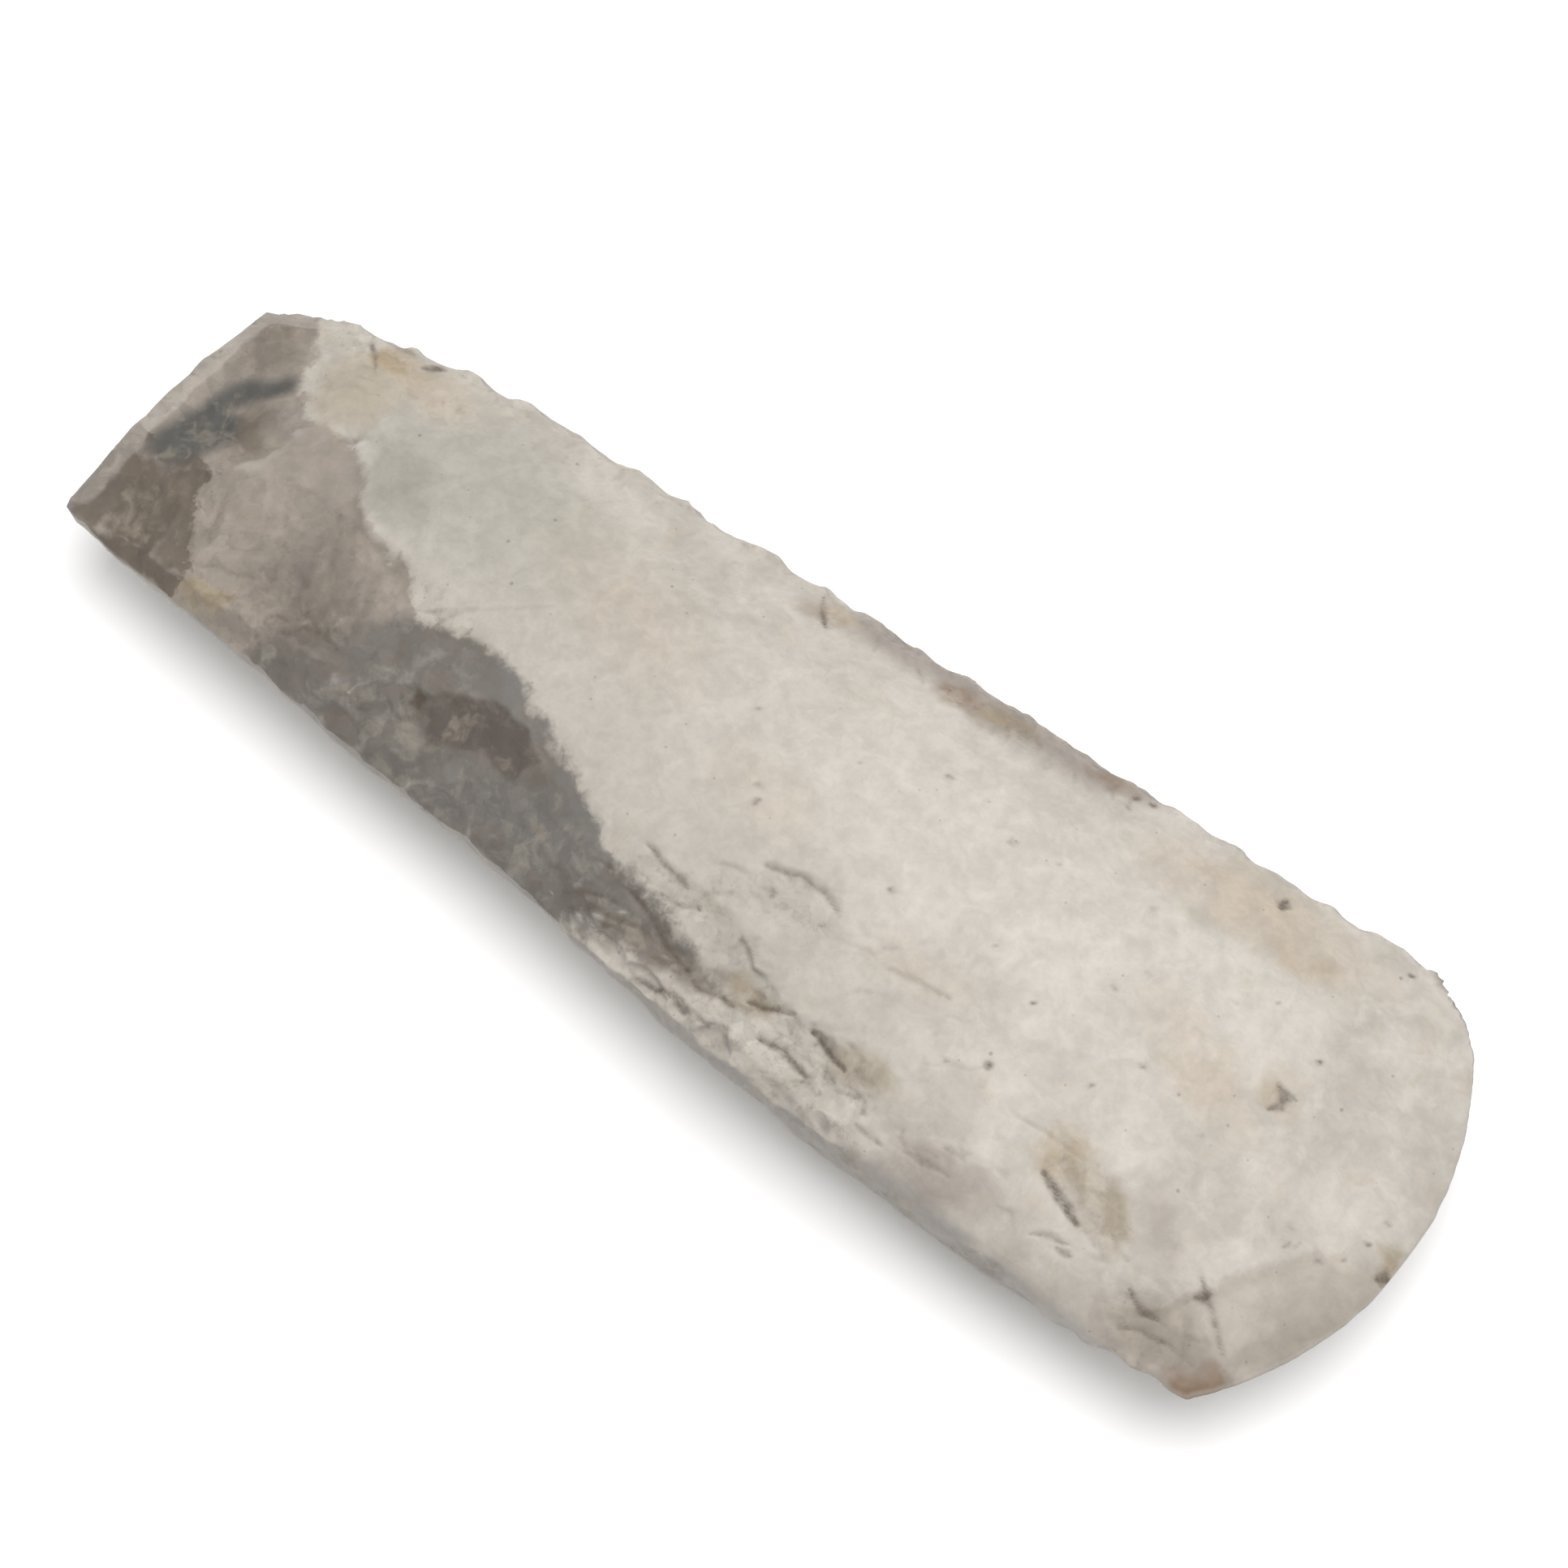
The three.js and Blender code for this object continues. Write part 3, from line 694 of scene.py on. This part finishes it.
def addGrain(stone):
    normals = stone.normals()
    size, height = axe["swell"]
    swell = height * noiseAt(stone.points * (0.7, 1, 1), size, 8)
    swell += 0.35 * height * noiseAt(stone.points, size / 3, 9)
    size, height = axe["tooth"]
    grain = noiseAt(stone.points, size, 10) + 0.6 * noiseAt(stone.points, size * 2.3, 11)
    tooth = height * stone.flaked * grain
    stone.points += ((swell + tooth) * blend(0.6, 4, 100 - stone.points[:, 0]))[:, None] * normals


def softenArris(stone):
    # the near side's upper arris was ground round towards the blade
    x, _, z = stone.points.T
    fromNear, _ = edgeGaps(stone)
    along = blend(axe["bevelFrom"] - 6, axe["bevelFrom"] + 6, x)
    along *= 1 - blend(axe["bevelTo"], axe["bevelTo"] + 12, x)
    stone.smooth(axe["bevelPasses"], mask=along * (1 - blend(3, 7, fromNear)) * (z > 11))


def paint(mesh, name, values):
    layer = mesh.attributes.new(name, "FLOAT", "POINT")
    layer.data.foreach_set("value", np.clip(values, 0, 1).astype(np.float32))


def colorMasks(stone, top):
    # patches as even slopes through 0.5 at their rim, 16 mm from 0 to 1, and strokes as soft lines
    places = stone.points[:, :2]
    masks = {}
    for name, outline in patches.items():
        distance, _, _ = lineDistance(places, outline + outline[:1])
        signed = np.where(insideOutline(places, outline), distance, -distance)
        masks[name] = (0.5 + signed / 16) * top
    warp = np.stack([noiseAt(stone.points, 6, 12), noiseAt(stone.points, 6, 13)], axis=1)
    for name, parts in strokes.items():
        masks[name] = np.zeros(stone.count)
        for part in parts:
            distance, _, _ = lineDistance(places + 0.9 * warp, part["line"])
            mask = 1 - blend(part["width"] - part["soft"] / 2, part["width"] + part["soft"], distance)
            masks[name] = np.maximum(masks[name], mask * top)
    return masks


def makeAxe():
    lines = creases + scatterCreases()
    piece = fineMesh(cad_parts["flint_axe"], lines)
    stone = Stone(piece.data)
    print("remeshed:", stone.count, "points")
    _, away = bladeReach(stone.points)
    reach = away.max()
    stone.smooth(axe["bladePasses"], mask=blend(43.5, 46, away))
    stone.smooth(axe["facetPasses"], keepEdges=axe["keepEdges"])
    out, away = bladeReach(stone.points)
    stone.points[:, :2] += ((reach - away.max()) * blend(38, away.max(), away))[:, None] * out
    growSides(stone)
    softenArris(stone)
    carveScars(stone)
    carveEdges(stone)
    roughen(stone)
    top = blend(0.05, 0.45, stone.normals()[:, 2])
    carveRidges(stone, top)
    stone.smooth(1)
    addGrain(stone)
    carveCreases(stone, top, lines)
    stone.points[:, 2] = np.maximum(stone.points[:, 2], 0)
    normals = stone.normals()
    calm = np.stack([stone.averaged(stone.points[:, axis], 14) for axis in range(3)], axis=1)
    relief = np.sum((calm - stone.points) * normals, axis=1)
    masks = colorMasks(stone, top)
    mesh = piece.data
    mesh.vertices.foreach_set("co", (stone.points * mm).ravel())
    mesh.update()
    paint(mesh, "flaked", stone.flaked)
    paint(mesh, "crease", stone.crease)
    # how far each point lies below its smoothed surround; the flint colour paints shade in the hollows and
    # highlight on the ridges from it
    paint(mesh, "hollow", 0.5 + relief / 1.2)
    # steepness of the surface, from which the flint colour paints shade on the steep sides
    paint(mesh, "side", 1 - blend(0.25, 0.75, np.abs(normals[:, 2])))
    for name, values in masks.items():
        paint(mesh, name, values)
    mesh.shade_smooth()
    print("axe carved:", len(stone.triangles), "triangles")
    return piece


axePiece = makeAxe()

# ---- flint ----
lightGain = 1.5  # how much brighter than its paint a level surface looks under this light
palette = {
    "cream": (214, 206, 195),
    "pale": (222, 215, 205),
    "greyCream": (199, 191, 180),
    "green": (184, 180, 169),
    "taupe": (160, 150, 136),
    "beige": (186, 174, 155),
    "brown": (108, 96, 83),
    "umber": (124, 114, 104),
    "deepUmber": (102, 92, 84),
    "slate": (84, 83, 79),
    "blueGrey": (122, 119, 114),
    "ochre": (186, 167, 138),
    "olive": (160, 143, 112),
    "warm": (204, 189, 170),
    "rust": (138, 110, 84),
    "dirt": (92, 78, 64),
    "pinkGrey": (168, 156, 146),
    # the grey of the painted shade on the steep sides
    "paintedSideShade": (156, 150, 144),
    "farGrey": (166, 156, 147),
    "facetTan": (190, 179, 166),
    "greenDark": (168, 164, 152),
}

# Stains on top: the place, half the length and width, the turn in degrees, how soft the rim is
# (0 to 1) and the share of the color.
stains = [
    {"color": "green", "at": (-52, 6), "size": (26, 12), "turn": -12, "soft": 0.6, "share": 0.75},
    {"color": "greyCream", "at": (-12, -6), "size": (30, 16), "turn": -5, "soft": 0.8, "share": 0.7},
    {"color": "pale", "at": (28, 10), "size": (34, 12), "turn": 6, "soft": 0.8, "share": 0.6},
    {"color": "beige", "at": (-79, 10), "size": (7, 5.5), "turn": -60, "soft": 0.45, "share": 0.85},
    {"color": "warm", "at": (-27, 5), "size": (13, 6), "turn": -15, "soft": 0.8, "share": 0.5},
    {"color": "ochre", "at": (-75.6, 17.2), "size": (3.6, 2.2), "turn": 20, "soft": 0.45, "share": 0.8},
    {"color": "warm", "at": (-70, 16), "size": (7, 4), "turn": 10, "soft": 0.7, "share": 0.7},
    {"color": "blueGrey", "at": (-52.4, -18.3), "size": (3.4, 2.6), "turn": 30, "soft": 0.6, "share": 0.7},
    {"color": "blueGrey", "at": (-83, 0.8), "size": (4, 2.2), "turn": 10, "soft": 0.7, "share": 0.35},
    {"color": "olive", "at": (17, -26), "size": (4, 1.7), "turn": 8, "soft": 0.5, "share": 0.7},
    {"color": "olive", "at": (35.5, -24.8), "size": (4.6, 1.9), "turn": 4, "soft": 0.7, "share": 0.6},
    {"color": "ochre", "at": (60.6, -18.6), "size": (3.4, 3.6), "turn": 0, "soft": 0.5, "share": 0.75},
    {"color": "olive", "at": (67.6, -20.6), "size": (5.6, 3.2), "turn": -22, "soft": 0.45, "share": 0.65},
    {"color": "pinkGrey", "at": (50, -29), "size": (7, 2.8), "turn": 4, "soft": 0.6, "share": 0.6},
    {"color": "pinkGrey", "at": (75, -18), "size": (4.6, 2.2), "turn": -40, "soft": 0.8, "share": 0.5},
    {"color": "pinkGrey", "at": (83.5, -29.6), "size": (7, 3.4), "turn": 18, "soft": 0.6, "share": 0.85},
    {"color": "taupe", "at": (95, -14), "size": (9, 3.2), "turn": 62, "soft": 0.9, "share": 0.5},
    {"color": "warm", "at": (65, 2), "size": (8.5, 4), "turn": -20, "soft": 0.7, "share": 0.7},
    {"color": "ochre", "at": (76.3, 4.6), "size": (3, 1.9), "turn": -40, "soft": 0.8, "share": 0.6},
    {"color": "warm", "at": (70, -2), "size": (6, 3), "turn": 0, "soft": 0.9, "share": 0.5},
    {"color": "warm", "at": (64, 24.5), "size": (11, 4.5), "turn": 6, "soft": 0.8, "share": 0.75},
    {"color": "ochre", "at": (69, 21.3), "size": (4, 1.4), "turn": 10, "soft": 0.8, "share": 0.6},
    {"color": "green", "at": (56.5, 18.6), "size": (3.6, 1.8), "turn": 10, "soft": 0.8, "share": 0.5},
    {"color": "rust", "at": (-8.4, 21.6), "size": (3, 1.8), "turn": 10, "soft": 0.7, "share": 0.5},
    {"color": "warm", "at": (3, -5), "size": (7, 4), "turn": -10, "soft": 0.9, "share": 0.5},
    {"color": "warm", "at": (33, -12), "size": (7, 3), "turn": 10, "soft": 0.9, "share": 0.5},
    {"color": "greyCream", "at": (22, -20), "size": (12, 6), "turn": 0, "soft": 0.8, "share": 0.5},
    {"color": "brown", "at": (-86.4, -3), "size": (2.6, 4.6), "turn": 10, "soft": 0.6, "share": 0.85},
    {"color": "brown", "at": (-94.5, 11), "size": (4.5, 7), "turn": 0, "soft": 0.6, "share": 0.55},
    {"color": "ochre", "at": (-78.6, 18), "size": (3.4, 2.6), "turn": 20, "soft": 0.35, "share": 1.0},
    {"color": "umber", "at": (-62, -18), "size": (9, 6), "turn": 10, "soft": 0.6, "share": 0.75},
    {"color": "greenDark", "at": (-63.5, 1.5), "size": (7, 4.5), "turn": -40, "soft": 0.7, "share": 0.8},
    {"color": "rust", "at": (89.5, -29.4), "size": (4.4, 2.4), "turn": 34, "soft": 0.5, "share": 0.9},
    {"color": "umber", "at": (-65, -11), "size": (6, 4), "turn": 120, "soft": 0.7, "share": 0.5},
    {"color": "umber", "at": (4, -27.8), "size": (7, 1.7), "turn": 4, "soft": 0.6, "share": 0.9},
    {"color": "olive", "at": (-74.6, -24.4), "size": (4, 2), "turn": 10, "soft": 0.5, "share": 0.9},
    {"color": "rust", "at": (89.2, -28.4), "size": (3.6, 2.2), "turn": 40, "soft": 0.5, "share": 1.0},
    {"color": "taupe", "at": (83, -27.6), "size": (7, 3), "turn": 14, "soft": 0.6, "share": 0.95},
    {"color": "taupe", "at": (94.6, -18.5), "size": (7, 2), "turn": 68, "soft": 0.6, "share": 0.65},
    {"color": "olive", "at": (98.2, -2.2), "size": (1.4, 2.2), "turn": 10, "soft": 0.6, "share": 0.8},
    {"color": "rust", "at": (12, 23.2), "size": (3, 1.9), "turn": 10, "soft": 0.7, "share": 0.95},
    {"color": "olive", "at": (19, 24), "size": (4.6, 2), "turn": 10, "soft": 0.7, "share": 0.75},
    {"color": "rust", "at": (35, 27), "size": (3.4, 1.5), "turn": 6, "soft": 0.7, "share": 0.55},
    {"color": "ochre", "at": (-7, 23.4), "size": (2.6, 1.6), "turn": 0, "soft": 0.6, "share": 0.6},
    {"color": "warm", "at": (56, 22.5), "size": (12, 5), "turn": 8, "soft": 0.5, "share": 0.6},
]

# The same below.
stainsBelow = [
    {"color": "ochre", "at": (-40, 8), "size": (14, 6), "turn": 20, "soft": 0.7, "share": 0.5},
    {"color": "taupe", "at": (-78, -4), "size": (20, 18), "turn": 10, "soft": 0.6, "share": 0.7},
    {"color": "umber", "at": (-20, 20), "size": (26, 7), "turn": -6, "soft": 0.6, "share": 0.6},
    {"color": "warm", "at": (48, -8), "size": (20, 12), "turn": 15, "soft": 0.8, "share": 0.5},
    {"color": "pinkGrey", "at": (75, 14), "size": (10, 6), "turn": -15, "soft": 0.8, "share": 0.5},
]

flint = {
    "polishedRoughness": 0.46,
    "struckRoughness": 0.62,
    "grainSize": 1.3,
    "mottleSize": 14.0,
    "cloudSize": 3.2,
    "chipSize": 2.4,
    "bumpDepth": 0.06,
}


def toned(name):
    # a palette color, from 0 to 255 as seen, turned into linear paint
    linear = [((value / 255 + 0.055) / 1.055) ** 2.4 for value in palette[name]]
    return (*(value / lightGain for value in linear), 1)


def place(tree, kind, inputs=(), **settings):
    # one node: settings are its own values, and inputs are sockets to link or plain values
    node = tree.nodes.new(kind)
    for key, value in settings.items():
        setattr(node, key, value)
    for key, value in dict(inputs).items():
        if isinstance(value, bpy.types.NodeSocket):
            tree.links.new(value, node.inputs[key])
        else:
            node.inputs[key].default_value = value
    return node


def noiseNode(tree, vector, size, detail=2.0, rough=0.5):
    inputs = {"Vector": vector, "Scale": 1 / size, "Detail": detail, "Roughness": rough}
    return place(tree, "ShaderNodeTexNoise", inputs).outputs["Fac"]


def ranged(tree, value, low, high, toLow=0.0, toHigh=1.0):
    inputs = {"Value": value, "From Min": low, "From Max": high, "To Min": toLow, "To Max": toHigh}
    return place(tree, "ShaderNodeMapRange", inputs, interpolation_type="SMOOTHSTEP").outputs["Result"]


def calc(tree, operation, first, second):
    return place(tree, "ShaderNodeMath", {0: first, 1: second}, operation=operation).outputs[0]


def vectorCalc(tree, operation, first, second):
    return place(tree, "ShaderNodeVectorMath", {0: first, 1: second}, operation=operation).outputs[0]


def mixed(tree, factor, under, over, kind="MIX"):
    # the color sockets of a mix node are its seventh and eighth
    inputs = {0: factor, 6: under, 7: over}
    return place(tree, "ShaderNodeMix", inputs, data_type="RGBA", blend_type=kind).outputs[2]


def attribute(tree, name):
    return place(tree, "ShaderNodeAttribute", {}, attribute_name=name).outputs["Fac"]


def newGroup(name, inputs, outputs):
    group = bpy.data.node_groups.new(name, "ShaderNodeTree")
    for label, kind in inputs:
        group.interface.new_socket(label, in_out="INPUT", socket_type=kind)
    for label, kind in outputs:
        group.interface.new_socket(label, in_out="OUTPUT", socket_type=kind)
    return group, group.nodes.new("NodeGroupInput"), group.nodes.new("NodeGroupOutput")


def makeStainGroup():
    # a soft oval patch: 1 inside and 0 outside
    inputs = [
        ("Place", "NodeSocketVector"), ("Centre", "NodeSocketVector"), ("Size", "NodeSocketVector"),
        ("Turn", "NodeSocketFloat"), ("Softness", "NodeSocketFloat"), ("Strength", "NodeSocketFloat"),
    ]
    group, given, result = newGroup("stain", inputs, [("Mask", "NodeSocketFloat")])
    offset = vectorCalc(group, "SUBTRACT", given.outputs["Place"], given.outputs["Centre"])
    back = calc(group, "MULTIPLY", given.outputs["Turn"], -1.0)
    around = {"Vector": offset, "Angle": back}
    turned = place(group, "ShaderNodeVectorRotate", around, rotation_type="Z_AXIS").outputs[0]
    scaled = vectorCalc(group, "DIVIDE", turned, given.outputs["Size"])
    flat = vectorCalc(group, "MULTIPLY", scaled, (1, 1, 0))
    length = place(group, "ShaderNodeVectorMath", {0: flat}, operation="LENGTH").outputs["Value"]
    outer = calc(group, "ADD", given.outputs["Softness"], 1.0)
    inner = calc(group, "SUBTRACT", 1.0, given.outputs["Softness"])
    mask = ranged(group, length, inner, outer, 1.0, 0.0)
    strong = calc(group, "MULTIPLY", mask, given.outputs["Strength"])
    group.links.new(strong, result.inputs["Mask"])
    return group


def makeSpeckGroup():
    # scattered specks: the share of cells that hold one, and its radius in cells
    inputs = [
        ("Place", "NodeSocketVector"), ("Cell", "NodeSocketFloat"), ("Share", "NodeSocketFloat"),
        ("Radius", "NodeSocketFloat"),
    ]
    group, given, result = newGroup("specks", inputs, [("Mask", "NodeSocketFloat")])
    scale = calc(group, "DIVIDE", 1.0, given.outputs["Cell"])
    cells = place(group, "ShaderNodeTexVoronoi", {"Vector": given.outputs["Place"], "Scale": scale})
    split = place(group, "ShaderNodeSeparateColor", {"Color": cells.outputs["Color"]})
    chosen = calc(group, "LESS_THAN", split.outputs[0], given.outputs["Share"])
    inner = calc(group, "MULTIPLY", given.outputs["Radius"], 0.45)
    dot = ranged(group, cells.outputs["Distance"], inner, given.outputs["Radius"], 1.0, 0.0)
    group.links.new(calc(group, "MULTIPLY", dot, chosen), result.inputs["Mask"])
    return group


def makeFlint():
    material = bpy.data.materials.new("flint")
    material.use_nodes = True
    tree = material.node_tree
    shader = tree.nodes["Principled BSDF"]
    stainGroup = makeStainGroup()
    speckGroup = makeSpeckGroup()
    coordinates = place(tree, "ShaderNodeTexCoord").outputs["Object"]
    point = place(tree, "ShaderNodeMapping", {"Vector": coordinates, "Scale": (1000, 1000, 1000)}).outputs[0]
    height = place(tree, "ShaderNodeSeparateXYZ", {"Vector": point}).outputs["Z"]
    top = ranged(tree, height, 11.0, 14.5)
    below = ranged(tree, height, 11.0, 14.5, 1.0, 0.0)

    def wobble(size, reach):
        pattern = place(tree, "ShaderNodeTexNoise", {"Vector": point, "Scale": 1 / size, "Detail": 3.0})
        centred = vectorCalc(tree, "SUBTRACT", pattern.outputs["Color"], (0.5, 0.5, 0.5))
        return vectorCalc(tree, "ADD", point, vectorCalc(tree, "MULTIPLY", centred, (reach, reach, reach)))

    def specks(cell, share, radius):
        inputs = {"Place": point, "Cell": cell, "Share": share, "Radius": radius}
        return place(tree, "ShaderNodeGroup", inputs, node_tree=speckGroup).outputs["Mask"]

    def patch(name, soft, ragged=0.4):
        # a patch's even slope, cut at its middle with a ragged rim
        field = calc(tree, "ADD", attribute(tree, name), calc(tree, "MULTIPLY", rim, ragged))
        return ranged(tree, field, 0.5 - soft, 0.5 + soft)

    def multiplied(color, value):
        grey = place(tree, "ShaderNodeCombineColor", {0: value, 1: value, 2: value}).outputs[0]
        return mixed(tree, 1.0, color, grey, "MULTIPLY")

    warped = wobble(5.0, 5.0)
    broad = noiseNode(tree, point, flint["mottleSize"], 3.0, 0.55)
    middle = noiseNode(tree, warped, 4.2, 4.0, 0.6)
    fine = noiseNode(tree, point, flint["grainSize"], 3.0, 0.62)
    mottle = noiseNode(tree, warped, flint["cloudSize"], 6.0, 0.68)
    rim = calc(tree, "SUBTRACT", calc(tree, "ADD", middle, calc(tree, "MULTIPLY", fine, 0.2)), 0.6)
    patchy = ranged(tree, middle, 0.32, 0.58, 0.35, 1.0)

    color = mixed(tree, ranged(tree, broad, 0.38, 0.62), toned("greyCream"), toned("cream"))
    color = mixed(tree, ranged(tree, middle, 0.5, 0.72, 0, 0.55), color, toned("pale"))
    color = mixed(tree, ranged(tree, middle, 0.3, 0.46, 0.45, 0), color, toned("warm"))

    def addStain(color, stain, side):
        inputs = {
            "Place": warped,
            "Centre": (*stain["at"], 0),
            "Size": (*stain["size"], 1),
            "Turn": math.radians(stain["turn"]),
            "Softness": stain["soft"],
            "Strength": stain["share"],
        }
        node = place(tree, "ShaderNodeGroup", inputs, node_tree=stainGroup)
        mask = calc(tree, "MULTIPLY", node.outputs["Mask"], side)
        if stain["color"] in ("ochre", "olive", "rust", "warm"):
            mask = calc(tree, "MULTIPLY", mask, patchy)
        return mixed(tree, mask, color, toned(stain["color"]))

    everyStain = [(stain, top) for stain in stains] + [(stain, below) for stain in stainsBelow]
    underneath = ("green", "greyCream", "pale")
    for stain, side in everyStain:
        if stain["color"] in underneath:
            color = addStain(color, stain, side)
    # painted shade: the steep sides, near and far, are turned grey
    color = mixed(tree, calc(tree, "MULTIPLY", attribute(tree, "side"), 0.8), color, toned("paintedSideShade"))
    buttTone = mixed(tree, ranged(tree, middle, 0.36, 0.66), toned("taupe"), toned("pinkGrey"))
    color = mixed(tree, patch("butt", 0.045), color, buttTone)
    darkTone = mixed(tree, ranged(tree, middle, 0.3, 0.7), toned("umber"), toned("blueGrey"))
    color = mixed(tree, patch("dark", 0.07), color, darkTone)
    color = mixed(tree, calc(tree, "MULTIPLY", patch("blue", 0.12), 0.6), color, toned("blueGrey"))
    color = mixed(tree, patch("crescent", 0.05), color, toned("deepUmber"))
    color = mixed(tree, calc(tree, "MULTIPLY", patch("brown", 0.025), 0.94), color, toned("brown"))
    color = mixed(tree, calc(tree, "MULTIPLY", patch("facet", 0.05), 0.7), color, toned("facetTan"))
    color = mixed(tree, calc(tree, "MULTIPLY", attribute(tree, "farBand"), 0.95), color, toned("farGrey"))
    for stain, side in everyStain:
        if stain["color"] not in underneath:
            color = addStain(color, stain, side)
    color = mixed(tree, calc(tree, "MULTIPLY", attribute(tree, "slate"), 0.95), color, toned("slate"))

    flaked = attribute(tree, "flaked")
    dusty = calc(tree, "MULTIPLY", flaked, ranged(tree, middle, 0.5, 0.68, 0, 0.35))
    color = mixed(tree, dusty, color, toned("beige"))
    # painted shade in the hollows of the relief, and a painted highlight on its ridges
    hollow = attribute(tree, "hollow")
    color = mixed(tree, ranged(tree, hollow, 0.53, 0.76, 0, 0.35), color, toned("umber"))
    color = mixed(tree, ranged(tree, hollow, 0.46, 0.28, 0, 0.3), color, toned("pale"))
    grimy = calc(tree, "MULTIPLY", flaked, ranged(tree, fine, 0.5, 0.75, 0, 0.35))
    color = mixed(tree, grimy, color, toned("brown"))
    broken = ranged(tree, fine, 0.3, 0.7, 0.55, 1.15)
    crease = calc(tree, "MULTIPLY", attribute(tree, "crease"), broken)
    color = mixed(tree, ranged(tree, crease, 0.02, 0.9, 0, 0.8), color, toned("dirt"))
    color = mixed(tree, calc(tree, "MULTIPLY", specks(2.3, 0.08, 0.16), 0.5), color, toned("umber"))
    color = mixed(tree, calc(tree, "MULTIPLY", specks(1.5, 0.07, 0.15), 0.35), color, toned("brown"))

    cells = place(tree, "ShaderNodeTexVoronoi", {"Vector": wobble(1.6, 1.5), "Scale": 1 / flint["chipSize"]})
    chip = place(tree, "ShaderNodeSeparateColor", {"Color": cells.outputs["Color"]}).outputs[0]
    chipped = multiplied(color, ranged(tree, chip, 0.0, 1.0, 0.9, 1.1))
    color = mixed(tree, calc(tree, "MULTIPLY", flaked, 0.8), color, chipped)
    color = multiplied(color, ranged(tree, mottle, 0.3, 0.7, 0.905, 1.08))
    color = multiplied(color, ranged(tree, fine, 0.25, 0.75, 0.965, 1.03))
    tree.links.new(color, shader.inputs["Base Color"])

    struck = ranged(tree, flaked, 0.0, 1.0, flint["polishedRoughness"], flint["struckRoughness"])
    roughness = calc(tree, "ADD", struck, ranged(tree, middle, 0.3, 0.7, -0.05, 0.07))
    tree.links.new(roughness, shader.inputs["Roughness"])

    turn = (0, 0, math.radians(-35))
    stretch = {"Vector": point, "Rotation": turn, "Scale": (0.12, 1.6, 1)}
    stretched = place(tree, "ShaderNodeMapping", stretch)
    scratches = noiseNode(tree, stretched.outputs[0], 1.0, 2.0, 0.6)
    bumpHeight = calc(tree, "ADD", fine, calc(tree, "MULTIPLY", scratches, 0.5))
    bumpInputs = {"Height": bumpHeight, "Strength": 0.35, "Distance": flint["bumpDepth"] * mm}
    bump = place(tree, "ShaderNodeBump", bumpInputs)
    tree.links.new(bump.outputs["Normal"], shader.inputs["Normal"])
    return material


axePiece.data.materials.clear()
axePiece.data.materials.append(makeFlint())
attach(axePiece, "root")
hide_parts("flint_axe")
print("flint finished")
